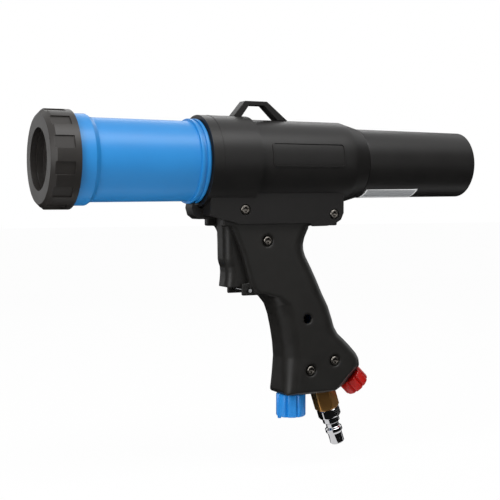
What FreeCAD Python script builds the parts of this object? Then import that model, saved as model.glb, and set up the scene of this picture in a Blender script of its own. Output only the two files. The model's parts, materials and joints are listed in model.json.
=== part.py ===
import FreeCAD, Part
import math
import os
import Sketcher

# A pneumatic cartridge gun. X = 0 is the front face of the ring nut, +X runs back
# along the barrel's axis, +Z is up and the handle hangs down. Millimetres and degrees.

Vector = FreeCAD.Vector
Rotation = FreeCAD.Rotation
doc = FreeCAD.newDocument("CaulkingGun")
sheet = doc.addObject("Spreadsheet::Sheet", "Sizes")

SIZES = {
    # clearances
    "running_gap": 0.08, "sliding_gap": 0.2, "seat_gap": 0.2, "press_gap": 0.03,
    # ring nut and the nozzle ring that it holds
    "nut_length": 19.5, "nut_radius": 32.8, "nut_mouth": 20.5, "nut_lip": 4.0,
    "nut_wall": 3.5, "nut_notch_depth": 1.1, "nut_notch_width": 8.4, "nut_notch_end": 15.5,
    "nut_chamfer": 3.5, "nut_turn": 11.5,
    "nozzle_hole": 14.25, "nozzle_flange": 3.8, "nozzle_spigot": 4.0, "nozzle_floor": 3.0,
    "nozzle_dish": 20.2,
    # barrel
    "cartridge_bore": 25.6, "barrel_flange_radius": 30.25, "barrel_flange_end": 30.0,
    "barrel_cone": 3.4, "barrel_front_radius": 28.0, "barrel_rear_radius": 27.5,
    "bead_start": 103.3, "bead_radius": 29.2, "bead_width": 2.1, "bead_groove": 27.9,
    # housing
    "collar_start": 110.7, "collar_end": 147.0, "collar_radius": 31.9,
    "body_front_radius": 29.75, "body_rear_radius": 29.5, "body_end": 221.3,
    "shoulder_end": 235.7, "shoulder_radius": 25.5, "cartridge_stop": 227.0,
    "receiver_front": 113.1, "receiver_rear": 217.0, "receiver_half": 20.0,
    "receiver_wall": 2.9, "receiver_bottom": -43.0, "receiver_roof": -31.9,
    # hanger loop
    "loop_width": 9.0, "loop_strap": 3.0, "loop_top": 42.6, "loop_foot": 28.6,
    # pneumatic cylinder and its telescopic piston
    "tube_radius": 25.2, "tube_rear_radius": 24.3, "tube_end": 329.0, "tube_bore": 21.0,
    "tube_end_wall": 3.0, "tube_spigot": 23.7, "bush_length": 8.0,
    "stage_one_radius": 18.3, "stage_two_radius": 14.8, "rod_radius": 11.3,
    "stage_wall": 2.1, "stage_lip": 5.0, "piston_length": 7.0, "seal_width": 1.8,
    "plate_radius": 22.8, "plate_thickness": 4.0, "plate_screw": 3.0,
    # handle
    "grip_half": 17.0, "grip_wall": 2.7, "slot_half": 10.6, "grip_edge": 2.4,
    "lug_hole": 1.25,
    # trigger
    "trigger_half": 10.0, "trigger_wall": 2.2, "pivot_x": 132.0, "pivot_z": -38.2,
    "pivot_radius": 2.0, "hub_radius": 4.5,
    # valve
    "valve_z": -68.0, "valve_start": 152.0, "valve_end": 184.0, "valve_radius": 7.5,
    "stem_radius": 2.0, "stem_reach": 7.25, "hose_radius": 3.0, "hose_bore": 1.9,
    "barb_thread": 2.2, "supply_port_x": 176.0, "drive_port_x": 172.0, "manifold_port_x": 203.0,
    "manifold_top": -148.4,
    # regulator, flow valve and air inlet in the foot of the handle
    "foot_z": -165.6, "regulator_x": 185.0, "regulator_radius": 5.8,
    "regulator_length": 34.0, "regulator_wall": 1.2, "regulator_neck": 5.2,
    "regulator_screw": 2.0, "knob_radius": 10.7, "knob_length": 16.6,
    "knob_groove_width": 2.2, "knob_groove_depth": 0.9, "flow_x": 232.6, "flow_z": -156.2,
    "flow_tilt": 45.0, "flow_knob_radius": 9.9, "flow_knob_length": 11.2,
    "flow_body_radius": 5.6, "needle_radius": 1.6, "inlet_x": 210.15, "inlet_z": -163.05,
    "inlet_tilt": 71.8, "inlet_hex": 8.3, "inlet_length": 17.2, "inlet_neck": 5.0,
    "plug_radius": 6.3, "plug_hex": 7.6, "plug_length": 28.2, "plug_bore": 3.6,
    "plug_nose": 5.25, "plug_thread": 4.5, "plug_thread_length": 6.0,
    # fasteners
    "screw_head": 3.4, "screw_shank": 1.5, "screw_hole": 1.65,
    # barrel latch
    "latch_x": 118.0, "latch_z": -35.6, "latch_half": 6.0, "latch_pin": 1.5,
    # rating label
    "label_start": 238.3, "label_length": 44.5, "label_thickness": 0.25,
}


class Size:
    """A number from the sheet together with the formula that gives it."""

    def __init__(self, number, formula):
        self.number = number
        self.formula = formula

    def __add__(self, other):
        return combine(self, "+", other)

    def __radd__(self, other):
        return combine(other, "+", self)

    def __sub__(self, other):
        return combine(self, "-", other)

    def __rsub__(self, other):
        return combine(other, "-", self)

    def __mul__(self, other):
        return combine(self, "*", other)

    def __rmul__(self, other):
        return combine(other, "*", self)

    def __truediv__(self, other):
        return combine(self, "/", other)

    def __neg__(self):
        return combine(0, "-", self)


def number(value):
    return value.number if isinstance(value, Size) else value


def formula(value):
    return value.formula if isinstance(value, Size) else repr(float(value))


def combine(left, sign, right):
    a = number(left)
    b = number(right)
    result = {"+": a + b, "-": a - b, "*": a * b, "/": a / b if b else 0.0}[sign]
    return Size(result, f"({formula(left)} {sign} {formula(right)})")


def fill_sheet():
    named = {}
    for row, (alias, value) in enumerate(SIZES.items(), start=1):
        sheet.set(f"A{row}", alias)
        sheet.set(f"B{row}", str(value))
        sheet.setAlias(f"B{row}", alias)
        named[alias] = Size(value, f"Sizes.{alias}")
    doc.recompute()
    return type("Named", (), named)


size = fill_sheet()
nodes = []


def bind(item, prop, value):
    """Set a property, through the sheet where its value comes from there."""
    if isinstance(value, Size):
        item.setExpression(prop, value.formula)
    else:
        setattr(item, prop, value)


def place(item, x=0.0, y=0.0, z=0.0, axis=(0, 1, 0), angle=0.0):
    base = Vector(number(x), number(y), number(z))
    item.Placement = FreeCAD.Placement(base, Rotation(Vector(*axis), number(angle)))
    for letter, value in zip("xyz", (x, y, z)):
        if isinstance(value, Size):
            item.setExpression(f"Placement.Base.{letter}", value.formula)
    if isinstance(angle, Size):
        item.setExpression("Placement.Rotation.Angle", angle.formula)
    return item


def node(item, name):
    """Name a finished sub-part: its label is its file's name."""
    item.Label = name
    nodes.append(item)
    return item


def new_body(name):
    return doc.addObject("PartDesign::Body", name + "_body")


def sketch_on(body, role, name):
    plane = [item for item in body.Origin.OriginFeatures if item.Role == role][0]
    sketch = body.newObject("Sketcher::SketchObject", name)
    sketch.AttachmentSupport = [(plane, "")]
    sketch.MapMode = "FlatFace"
    return sketch


def pin_point(sketch, line, end, x, y):
    """Hold one end of a line at x, y, measured from the sketch's origin."""
    for kind, value in (("DistanceX", x), ("DistanceY", y)):
        held = Sketcher.Constraint(kind, -1, 1, line, end, float(number(value)))
        index = sketch.addConstraint(held)
        if isinstance(value, Size):
            sketch.setExpression(f"Constraints[{index}]", value.formula)


def outline(sketch, points):
    """Add a closed outline whose corners stay tied to the sheet."""
    first = sketch.GeometryCount
    count = len(points)
    for index, point in enumerate(points):
        following = points[(index + 1) % count]
        start = Vector(number(point[0]), number(point[1]), 0)
        finish = Vector(number(following[0]), number(following[1]), 0)
        sketch.addGeometry(Part.LineSegment(start, finish))
    for index in range(count):
        last = first + (index + 1) % count
        sketch.addConstraint(Sketcher.Constraint("Coincident", first + index, 2, last, 1))
    for index, point in enumerate(points):
        pin_point(sketch, first + index, 1, *point)


def circle(sketch, x, y, radius):
    centre = Vector(number(x), number(y), 0)
    index = sketch.addGeometry(Part.Circle(centre, Vector(0, 0, 1), number(radius)))
    pin_point(sketch, index, 3, x, y)
    held = sketch.addConstraint(Sketcher.Constraint("Radius", index, number(radius)))
    if isinstance(radius, Size):
        sketch.setExpression(f"Constraints[{held}]", radius.formula)


def turned(name, *outlines, placed=None):
    """A piece turned about its own X axis; each outline is (along, radius) corners."""
    body = new_body(name)
    sketch = sketch_on(body, "XZ_Plane", name + "_profile")
    for points in outlines:
        outline(sketch, points)
    spin = body.newObject("PartDesign::Revolution", name + "_turn")
    spin.Profile = sketch
    spin.ReferenceAxis = (sketch, ["H_Axis"])
    spin.Angle = 360
    if placed:
        place(body, **placed)
    return body


def tube(start, end, inner, outer):
    return [(start, inner), (end, inner), (end, outer), (start, outer)]


def plate(name, points, half, holes=()):
    """A flat piece cut from an outline in the XZ plane, half as thick to each side."""
    body = new_body(name)
    sketch = sketch_on(body, "XZ_Plane", name + "_outline")
    outline(sketch, points)
    for hole in holes:
        circle(sketch, *hole)
    pad = body.newObject("PartDesign::Pad", name + "_pad")
    pad.Profile = sketch
    pad.Midplane = True
    bind(pad, "Length", half * 2)
    return body


def pocket_through(body, sketch, name, depth):
    """Cut a sketch on a mid plane evenly to both sides."""
    cut = body.newObject("PartDesign::Pocket", name)
    cut.Profile = sketch
    cut.Midplane = True
    bind(cut, "Length", depth)
    return cut


def notch_round(body, name, centre, width, depth, count, length):
    """Cut even notches round a turned piece, right along it from its start."""
    sketch = sketch_on(body, "YZ_Plane", name + "_notch")
    outline(sketch, [(-width / 2, centre - depth), (width / 2, centre - depth),
                     (width / 2, centre + depth), (-width / 2, centre + depth)])
    cut = body.newObject("PartDesign::Pocket", name + "_cut")
    cut.Profile = sketch
    cut.Midplane = True
    bind(cut, "Length", length * 2)
    doc.recompute()
    around = body.newObject("PartDesign::PolarPattern", name + "_round")
    around.Originals = [cut]
    around.Axis = ([item for item in body.Origin.OriginFeatures if item.Role == "X_Axis"][0], [""])
    around.Angle = 360
    around.Occurrences = count
    body.Tip = around
    doc.recompute()


def rod(name, start, end, radius):
    """A helper cylinder along Y, Z or a tilted axis, for cutting."""
    item = doc.addObject("Part::Cylinder", name)
    bind(item, "Radius", radius)
    bind(item, "Height", end - start)
    return item


def cross_rod(name, x, z, start, end, radius):
    """A cylinder along +Y from start to end."""
    item = rod(name, start, end, radius)
    return place(item, x, start, z, (1, 0, 0), -90.0)


def block(name, x, y, z):
    """A box from three (low, high) pairs."""
    item = doc.addObject("Part::Box", name)
    for prop, (low, high) in zip(("Length", "Width", "Height"), (x, y, z)):
        bind(item, prop, high - low)
    return place(item, x[0], y[0], z[0])


def join(name, *pieces):
    item = doc.addObject("Part::MultiFuse", name)
    item.Shapes = list(pieces)
    return item


def cut(name, base, *tools):
    item = doc.addObject("Part::Cut", name)
    item.Base = base
    item.Tool = tools[0] if len(tools) == 1 else join(name + "_tools", *tools)
    return item


def common(name, *pieces):
    item = doc.addObject("Part::MultiCommon", name)
    item.Shapes = list(pieces)
    return item


def coil(name, radius, wire, length, turns, placed):
    """A compression spring; its wire's centre line runs from one end to the other."""
    helix = doc.addObject("Part::Helix", name + "_helix")
    bind(helix, "Radius", radius)
    bind(helix, "Height", length)
    bind(helix, "Pitch", length / turns)
    section = doc.addObject("Part::Circle", name + "_wire")
    bind(section, "Radius", wire)
    place(section, radius, 0.0, 0.0, (1, 0, 0), 90.0)
    spring = doc.addObject("Part::Sweep", name + "_sweep")
    spring.Sections = [section]
    spring.Spine = (helix, ["Edge1"])
    spring.Solid = True
    spring.Frenet = True
    place(spring, **placed)
    return node(spring, name)


# Ring nut, nozzle ring and barrel ------------------------------------------------

nut_bore = size.nut_radius - size.nut_wall
barrel_spigot = nut_bore - size.sliding_gap
ring_start = size.nut_lip + size.seat_gap
barrel_front = ring_start + size.nozzle_flange + size.seat_gap
bead_end = size.bead_start + size.bead_width * 3
collar_bore = size.barrel_rear_radius + size.sliding_gap
barrel_rear = size.collar_end - 1.0


def make_ring_nut():
    body = turned("ring_nut", [
        (0.0, size.nut_mouth), (size.nut_lip, size.nut_mouth), (size.nut_lip, nut_bore),
        (size.nut_length, nut_bore), (size.nut_length, size.nut_radius),
        (size.nut_chamfer, size.nut_radius), (0.0, size.nut_radius - size.nut_chamfer)])
    notch_round(body, "ring_nut", size.nut_radius, size.nut_notch_width,
                size.nut_notch_depth, 12, size.nut_notch_end)
    place(body, axis=(1, 0, 0), angle=size.nut_turn)
    node(body, "ring_nut")


def make_nozzle_ring():
    floor_start = ring_start + size.nozzle_flange + size.nozzle_spigot - size.nozzle_floor
    spigot_end = ring_start + size.nozzle_flange + size.nozzle_spigot
    flange_end = ring_start + size.nozzle_flange
    flange_radius = nut_bore - size.sliding_gap
    spigot_radius = size.cartridge_bore - size.sliding_gap
    node(turned("nozzle_ring", [
        (ring_start, size.nozzle_dish), (floor_start, size.nozzle_dish),
        (floor_start, size.nozzle_hole), (spigot_end, size.nozzle_hole),
        (spigot_end, spigot_radius), (flange_end, spigot_radius),
        (flange_end, flange_radius), (ring_start, flange_radius)]), "nozzle_ring")


def make_barrel():
    flange_start = size.nut_length + size.seat_gap
    groove_start = size.bead_start + size.bead_width
    groove_end = groove_start + size.bead_width
    node(turned("barrel", [
        (barrel_front, size.cartridge_bore), (barrel_rear, size.cartridge_bore),
        (barrel_rear, size.barrel_rear_radius), (bead_end, size.barrel_rear_radius),
        (bead_end, size.bead_radius), (groove_end, size.bead_radius),
        (groove_end, size.bead_groove), (groove_start, size.bead_groove),
        (groove_start, size.bead_radius), (size.bead_start, size.bead_radius),
        (size.bead_start, size.barrel_rear_radius),
        (size.barrel_flange_end + size.barrel_cone, size.barrel_front_radius),
        (size.barrel_flange_end, size.barrel_flange_radius),
        (flange_start, size.barrel_flange_radius), (flange_start, barrel_spigot),
        (barrel_front, barrel_spigot)]), "barrel")


# Housing -------------------------------------------------------------------------

spigot_bore = size.tube_spigot + size.press_gap
tongue_half = size.receiver_half - size.receiver_wall - size.seat_gap
SCREW_SPOTS = ((139.1, -33.2), (209.3, -36.8))
HEAD_SINK = 1.4
GRIP_SCREW_SPOTS = ((157.9, -55.1), (189.9, -111.4), (192.7, -148.4), (212.2, -142.5))


def make_housing():
    barrel_seat = barrel_rear + size.seat_gap
    shell = turned("housing_shell", [
        (size.collar_start, 0.0), (size.collar_start, size.collar_radius),
        (size.collar_end, size.collar_radius), (size.collar_end, size.body_front_radius),
        (size.body_end, size.body_rear_radius), (size.shoulder_end, size.shoulder_radius),
        (size.shoulder_end, 0.0)])
    front = size.receiver_front
    rear = size.receiver_rear
    bottom = size.receiver_bottom
    receiver = plate("housing_receiver", [
        (front, -12.0), (front, bottom + 5.6), (front + 10.4, bottom + 3.0),
        (front + 21.7, bottom), (rear - 27.5, bottom), (rear - 24.5, bottom - 2.3),
        (rear - 13.5, bottom - 2.1), (rear - 6.9, bottom - 0.6), (rear - 2.2, bottom + 2.2),
        (rear, bottom + 7.0), (rear, -12.0)], size.receiver_half)
    hollow = block("housing_hollow",
                   (front + size.receiver_wall, rear - size.receiver_wall),
                   (-tongue_half - size.seat_gap, tongue_half + size.seat_gap),
                   (bottom - 6.0, size.receiver_roof))
    latch_mouth = block("housing_latch_mouth", (front - 4.0, front + 6.0),
                        (-size.latch_half - 0.4, size.latch_half + 0.4),
                        (bottom - 6.0, size.receiver_roof))
    bore = turned("housing_bore", [
        (size.collar_start - 1.0, 0.0), (size.collar_start - 1.0, collar_bore),
        (barrel_seat, collar_bore), (barrel_seat, size.cartridge_bore),
        (size.cartridge_stop, size.cartridge_bore), (size.cartridge_stop, spigot_bore),
        (size.shoulder_end + 1.0, spigot_bore), (size.shoulder_end + 1.0, 0.0)])
    holes = [cross_rod(f"housing_hole_{index}", x, z, -size.receiver_half - 1.0,
                       size.receiver_half + 1.0, size.screw_hole)
             for index, (x, z) in enumerate(SCREW_SPOTS)]
    for index, (x, z) in enumerate(SCREW_SPOTS):
        for side, start in (("left", -size.receiver_half - 1.0),
                            ("right", size.receiver_half - HEAD_SINK)):
            holes.append(cross_rod(f"housing_well_{side}_{index}", x, z, start,
                                   start + 1.0 + HEAD_SINK, size.screw_head + 0.4))
    latch_hole = cross_rod("housing_latch_hole", size.latch_x, size.latch_z, -15.0, 15.0,
                           size.latch_pin + size.press_gap)
    ears = [block(f"housing_latch_ear_{index}", (front + 1.0, front + 9.0), span,
                  (bottom + 5.4, size.receiver_roof + 2.0))
            for index, span in enumerate(((-size.latch_half - 3.4, -size.latch_half - 0.4),
                                          (size.latch_half + 0.4, size.latch_half + 3.4)))]
    solid = join("housing_solid", shell, receiver)
    hollowed = cut("housing_hollowed", solid, hollow, latch_mouth)
    eared = join("housing_eared", hollowed, *ears)
    port = rod("housing_port", size.receiver_roof - 1.0, size.receiver_roof + 2.0,
               size.barb_thread + size.press_gap)
    place(port, size.drive_port_x, 0.0, size.receiver_roof - 1.0)
    node(cut("housing", eared, bore, latch_hole, port, *holes), "housing")


def make_hanger_loop():
    top = size.loop_top
    strap = size.loop_strap
    foot = size.loop_foot
    loop = plate("hanger_loop_strap", [
        (134.6, foot), (146.2, top), (163.4, top), (180.8, foot), (172.4, foot),
        (161.0, top - strap), (149.4, top - strap), (141.4, foot)], size.loop_width / 2)
    below = turned("hanger_loop_seat", [
        (120.0, 0.0), (120.0, size.collar_radius + size.press_gap),
        (size.collar_end + size.press_gap, size.collar_radius + size.press_gap),
        (size.collar_end + size.press_gap, size.body_front_radius + size.press_gap),
        (size.body_end, size.body_rear_radius + size.press_gap * 3), (size.body_end, 0.0)])
    node(cut("hanger_loop", loop, below), "hanger_loop")


# Pneumatic cylinder with its telescopic piston -----------------------------------

tube_front = size.cartridge_stop + 1.0
tube_shoulder = size.shoulder_end + size.seat_gap
bush_end = tube_front + size.bush_length
tube_floor = size.tube_end - size.tube_end_wall


def make_rear_cylinder():
    node(turned("rear_cylinder", [
        (tube_front, size.tube_bore), (tube_floor, size.tube_bore), (tube_floor, 0.0),
        (size.tube_end, 0.0), (size.tube_end, size.tube_rear_radius),
        (tube_shoulder, size.tube_radius), (tube_shoulder, size.tube_spigot),
        (tube_front, size.tube_spigot)]), "rear_cylinder")
    node(turned("cylinder_bush", tube(
        tube_front, bush_end, size.stage_one_radius + size.running_gap,
        size.tube_bore - size.press_gap)), "cylinder_bush")


def make_stage(name, front, rear, radius, bore, around, lip_bore):
    """One hollow stage: a front lip that guides the next one, a grooved piston behind."""
    head = around - size.running_gap
    groove = head - size.seal_width
    groove_start = rear - size.piston_length / 2 - size.seal_width / 2
    groove_end = groove_start + size.seal_width
    node(turned(name, [
        (front, lip_bore), (front + size.stage_lip, lip_bore), (front + size.stage_lip, bore),
        (rear, bore), (rear, head), (groove_end, head), (groove_end, groove),
        (groove_start, groove), (groove_start, head), (rear - size.piston_length, head),
        (rear - size.piston_length, radius), (front, radius)]), name)
    seal = doc.addObject("Part::Torus", name + "_ring")
    bind(seal, "Radius1", head - size.seal_width / 2)
    bind(seal, "Radius2", size.seal_width / 2 - size.press_gap)
    place(seal, groove_start + size.seal_width / 2, 0.0, 0.0, (0, 1, 0), 90.0)
    node(seal, name + "_seal")


def make_piston():
    stage_two_bore = size.stage_two_radius - size.stage_wall
    stage_one_bore = size.stage_one_radius - size.stage_wall
    make_stage("piston_stage_one", tube_front - 2.0, tube_floor - 1.0, size.stage_one_radius,
               stage_one_bore, size.tube_bore, size.stage_two_radius + size.running_gap)
    make_stage("piston_stage_two", tube_front - 3.5, tube_floor - 2.0, size.stage_two_radius,
               stage_two_bore, stage_one_bore, size.rod_radius + size.running_gap)
    make_stage("piston_rod", tube_front - 5.0, tube_floor - 3.0, size.rod_radius,
               size.rod_radius - size.stage_wall, stage_two_bore,
               size.plate_screw + size.press_gap)
    plate_rear = tube_front - 5.0
    plate_front = plate_rear - size.plate_thickness
    node(turned("push_plate", [
        (plate_front, size.plate_screw + size.press_gap),
        (plate_rear, size.plate_screw + size.press_gap), (plate_rear, size.plate_radius),
        (plate_front + 1.5, size.plate_radius), (plate_front, size.plate_radius - 4.0)]),
        "push_plate")
    node(turned("push_plate_screw", [
        (plate_front - 2.4, 0.0), (plate_rear + size.stage_lip, 0.0),
        (plate_rear + size.stage_lip, size.plate_screw), (plate_front, size.plate_screw),
        (plate_front, size.plate_screw * 2), (plate_front - 2.4, size.plate_screw * 1.6)]),
        "push_plate_screw")


# Handle --------------------------------------------------------------------------

HANDLE = (
    # front edge from the receiver down, with the lug below the trigger
    (129.6, -43.2), (132.0, -46.8), (138.9, -63.6), (144.1, -81.8), (145.0, -85.6),
    (139.4, -85.8), (142.1, -92.7), (158.5, -93.3), (163.6, -95.8), (166.6, -101.1),
    (169.4, -108.7), (171.6, -118.8), (173.3, -128.9), (174.1, -139.0), (173.8, -151.0),
    (173.2, -163.0), (174.8, -165.6),
    # foot: flat at the regulator, square to the inlet, then square to the flow valve
    (201.5, -165.6), (219.5, -160.2), (225.9, -162.9), (239.3, -149.5), (238.4, -143.4),
    # back edge from the foot up to the web of the thumb
    (236.1, -139.5), (230.9, -133.9), (225.6, -128.8), (220.4, -124.3), (217.0, -119.0),
    (215.2, -113.7), (211.4, -103.4), (206.5, -94.3), (201.7, -84.1), (196.9, -74.8),
    (192.3, -66.5), (190.9, -62.3), (190.4, -58.3), (191.3, -53.3), (194.0, -48.4),
    (196.0, -45.6), (189.0, -43.2))
TONGUE = ((136.5, -43.2), (124.0, -39.6), (124.0, -32.2), (213.6, -32.2), (213.6, -40.0),
          (190.0, -43.2))
LUG_HOLE = (144.6, -89.6)


def shape_node(name, shape):
    item = doc.addObject("Part::Feature", name + "_shape")
    item.Shape = shape
    return node(item, name)


def ring_wire(points, y):
    corners = [Vector(x, y, z) for x, z in points]
    return Part.makePolygon(corners + corners[:1])


def prism(points, low, high):
    return Part.Face(ring_wire(points, low)).extrude(Vector(0, high - low, 0))


def handle_half(side):
    """One moulded half of the handle, hollow, open to the trigger and at the joint."""
    half = SIZES["grip_half"]
    edge = SIZES["grip_edge"]
    wall = SIZES["grip_wall"]
    face = Part.Face(ring_wire(HANDLE, 0.0))
    inset = face.makeOffset2D(-edge, 2)
    outer = prism(HANDLE, 0.0, half - edge)
    rim = Part.Face(inset.OuterWire).extrude(Vector(0, half, 0))
    hollow = Part.Face(face.makeOffset2D(-wall, 2).OuterWire).extrude(Vector(0, half - wall, 0))
    tongue = prism(TONGUE, 0.0, half - 0.2)
    tongue_face = Part.Face(ring_wire(TONGUE, 0.0))
    room = Part.Face(tongue_face.makeOffset2D(-wall, 2).OuterWire)
    room = room.extrude(Vector(0, half - wall - 0.2, 0))
    passage = Part.makeBox(46.0, half - wall, 14.0, Vector(141.0, 0.0, -52.0))
    port = Part.makeCylinder(4.3, 6.0, Vector(SIZES["drive_port_x"], 0, -36.5))
    barrel_of_valve = Part.makeCylinder(SIZES["valve_radius"] + 0.03, 60.0,
                                        Vector(SIZES["valve_start"], 0, SIZES["valve_z"]),
                                        Vector(1, 0, 0))
    ribs = [Part.makeBox(2.0, half - 1.0, 17.0, Vector(x, 0.0, SIZES["valve_z"] - 8.5))
            for x in (SIZES["valve_start"] + 5.0, SIZES["valve_end"] - 4.0)]
    regulator_room = tilted_cylinder(SIZES["regulator_radius"] + 0.1, -40.0, 4.0,
                                     SIZES["regulator_x"], SIZES["foot_z"], 90.0)
    slot = Part.makeBox(60.0, SIZES["slot_half"], 58.0, Vector(95.0, 0.0, -88.8))
    slot_low = Part.makeBox(20.0, SIZES["slot_half"], 8.0, Vector(130.0, 0.0, -92.4))
    solid = outer.fuse([rim, tongue])
    bosses = [Part.makeCylinder(4.2, half - 1.0, Vector(x, 0, z), Vector(0, 1, 0))
              for x, z in GRIP_SCREW_SPOTS]
    bosses += [Part.makeCylinder(3.4, 5.4, Vector(x, 11.2, z), Vector(0, 1, 0))
               for x, z in SCREW_SPOTS]
    solid = solid.cut([hollow, room, passage, slot, slot_low, port]).fuse(bosses + ribs)
    above = Part.makeBox(120.0, half + 2.0, 20.0, Vector(110.0, -1.0, TONGUE[2][1]))
    solid = solid.cut([barrel_of_valve, regulator_room, above])
    holes = [Part.makeCylinder(SIZES["screw_hole"], half + 1.0, Vector(x, 0, z), Vector(0, 1, 0))
             for x, z in GRIP_SCREW_SPOTS]
    holes += [Part.makeCylinder(SIZES["screw_hole"], 8.0, Vector(x, 10.0, z), Vector(0, 1, 0))
              for x, z in SCREW_SPOTS]
    holes += [Part.makeCylinder(SIZES["pivot_radius"] + 0.03, half + 1.0,
                                Vector(SIZES["pivot_x"], 0, SIZES["pivot_z"]), Vector(0, 1, 0))]
    holes += [Part.makeCylinder(SIZES["lug_hole"] + 0.03, half + 1.0,
                                Vector(LUG_HOLE[0], 0, LUG_HOLE[1]), Vector(0, 1, 0))]
    wells = [Part.makeCylinder(4.0, 2.4, Vector(x, half - 1.6, z), Vector(0, 1, 0))
             for x, z in GRIP_SCREW_SPOTS]
    holes += foot_openings()
    solid = solid.cut(holes + wells)
    if side < 0:
        solid = solid.mirror(Vector(0, 0, 0), Vector(0, 1, 0))
    return solid


def tilted_cylinder(radius, start, end, x, z, tilt):
    along = Vector(math.cos(math.radians(tilt)), 0, -math.sin(math.radians(tilt)))
    return Part.makeCylinder(radius, end - start, Vector(x, 0, z) + along * start, along)


def foot_openings():
    regulator = (SIZES["regulator_x"], SIZES["foot_z"], 90.0)
    flow = (SIZES["flow_x"], SIZES["flow_z"], SIZES["flow_tilt"])
    inlet = (SIZES["inlet_x"], SIZES["inlet_z"], SIZES["inlet_tilt"])
    return [
        tilted_cylinder(SIZES["regulator_radius"] + 0.1, -8.0, 4.0, *regulator),
        tilted_cylinder(SIZES["flow_body_radius"] + 0.2, -8.0, 6.0, *flow),
        tilted_cylinder(SIZES["inlet_neck"] + 0.2, -10.0, 6.0, *inlet)]


def make_handle():
    shape_node("grip_left", handle_half(-1))
    shape_node("grip_right", handle_half(1))
    pin = cross_rod("lug_pin_rod", LUG_HOLE[0], LUG_HOLE[1], 1.0 - size.grip_half,
                    size.grip_half - 1.0, size.lug_hole)
    node(pin, "lug_pin")


# Trigger -------------------------------------------------------------------------

TRIGGER_SWING = 8.0


def make_trigger():
    x = size.pivot_x
    z = size.pivot_z
    body = plate("trigger", [
        (x - 3.6, z + 3.4), (x + 1.0, z + 4.6), (x + 4.6, z + 2.0), (x + 5.4, z - 3.4),
        (x + 8.0, z - 10.0), (x + 12.5, z - 25.5), (x + 12.5, z - 34.0), (x + 15.4, z - 46.4),
        (x + 7.0, z - 47.0), (x - 2.2, z - 48.9), (x - 1.4, z - 40.9), (x - 1.8, z - 34.6),
        (x - 2.8, z - 31.0), (x - 3.2, z - 16.4), (x - 3.6, z - 5.8)], size.trigger_half,
        [(x, z, size.pivot_radius + size.running_gap)])
    for name, points in (
            ("upper", [(x + 0.6, z - 8.0), (x + 10.0, z - 8.0), (x + 14.5, z - 23.5),
                       (x + 1.0, z - 23.5)]),
            ("lower", [(x + 2.0, z - 36.0), (x + 17.0, z - 36.0), (x + 18.0, z - 44.6),
                       (x + 2.2, z - 44.6)])):
        sketch = sketch_on(body, "XZ_Plane", f"trigger_{name}_window")
        outline(sketch, points)
        pocket_through(body, sketch, f"trigger_{name}_pocket",
                       (size.trigger_half - size.trigger_wall) * 2)
    node(body, "trigger")
    pin = cross_rod("trigger_pin_rod", x, z, 0.6 - size.grip_half, size.grip_half - 0.6,
                    size.pivot_radius)
    node(pin, "trigger_pin")


# Valve and hoses -----------------------------------------------------------------

CAP_LENGTH = 6.0
PORT_DEPTH = 2.0


def make_valve():
    length = size.valve_end - size.valve_start
    spot = {"x": size.valve_start, "z": size.valve_z}
    bore = size.stem_radius + size.running_gap
    body = turned("valve_body", [
        (0.0, bore), (4.0, bore), (4.0, 5.0), (length - CAP_LENGTH, 5.0),
        (length - CAP_LENGTH, 5.6), (length, 5.6), (length, size.valve_radius),
        (0.0, size.valve_radius)], placed=spot)
    ports = []
    for name, x, up in (("supply", size.supply_port_x, -1), ("drive", size.drive_port_x, 1)):
        port = rod(f"valve_{name}_port", 0.0, PORT_DEPTH * 2, size.barb_thread + size.press_gap)
        middle = size.valve_z + up * size.valve_radius
        ports.append(place(port, x, 0.0, middle - PORT_DEPTH))
    node(cut("valve_body", body, *ports), "valve_body")
    node(turned("valve_stem", [
        (-size.stem_reach, 0.0), (24.0, 0.0), (24.0, size.stem_radius),
        (11.0, size.stem_radius), (11.0, 4.8), (10.1, 4.8), (10.1, 3.4), (8.3, 3.4),
        (8.3, 4.8), (7.4, 4.8), (7.4, size.stem_radius), (-size.stem_reach, size.stem_radius)],
        placed=spot), "valve_stem")
    seal = doc.addObject("Part::Torus", "valve_seal_ring")
    seal.Radius1 = 4.1
    seal.Radius2 = 0.68
    place(seal, size.valve_start + 9.2, 0.0, size.valve_z, (0, 1, 0), 90.0)
    node(seal, "valve_seal")
    node(turned("valve_cap", [
        (length - CAP_LENGTH + 0.1, 3.0), (length - 2.0, 3.0), (length - 2.0, 0.0),
        (length + 2.0, 0.0), (length + 2.0, 4.6), (length, 4.6), (length, 5.57),
        (length - CAP_LENGTH + 0.1, 5.57)], placed=spot), "valve_cap")
    coil("valve_spring", 3.5, 0.45, length - CAP_LENGTH - 12.0, 6.0,
         {"x": size.valve_start + 11.5, "z": size.valve_z, "angle": 90.0})


BARB_FLANGE = 1.5


def make_barb(name, x, z, up):
    """A hose barb: its thread below z and its tip above it, or the other way up."""
    body = new_body(name)
    sketch = sketch_on(body, "XZ_Plane", name + "_profile")
    outline(sketch, [(1.1, 0.1 - PORT_DEPTH), (size.barb_thread, 0.1 - PORT_DEPTH),
                     (size.barb_thread, 0.05), (3.8, 0.05), (3.8, BARB_FLANGE),
                     (1.8, BARB_FLANGE), (1.8, 6.5), (1.1, 6.5)])
    spin = body.newObject("PartDesign::Revolution", name + "_turn")
    spin.Profile = sketch
    spin.ReferenceAxis = (sketch, ["V_Axis"])
    spin.Angle = 360
    return place(body, x, 0.0, z, (1, 0, 0), 0.0 if up else 180.0)


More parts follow.
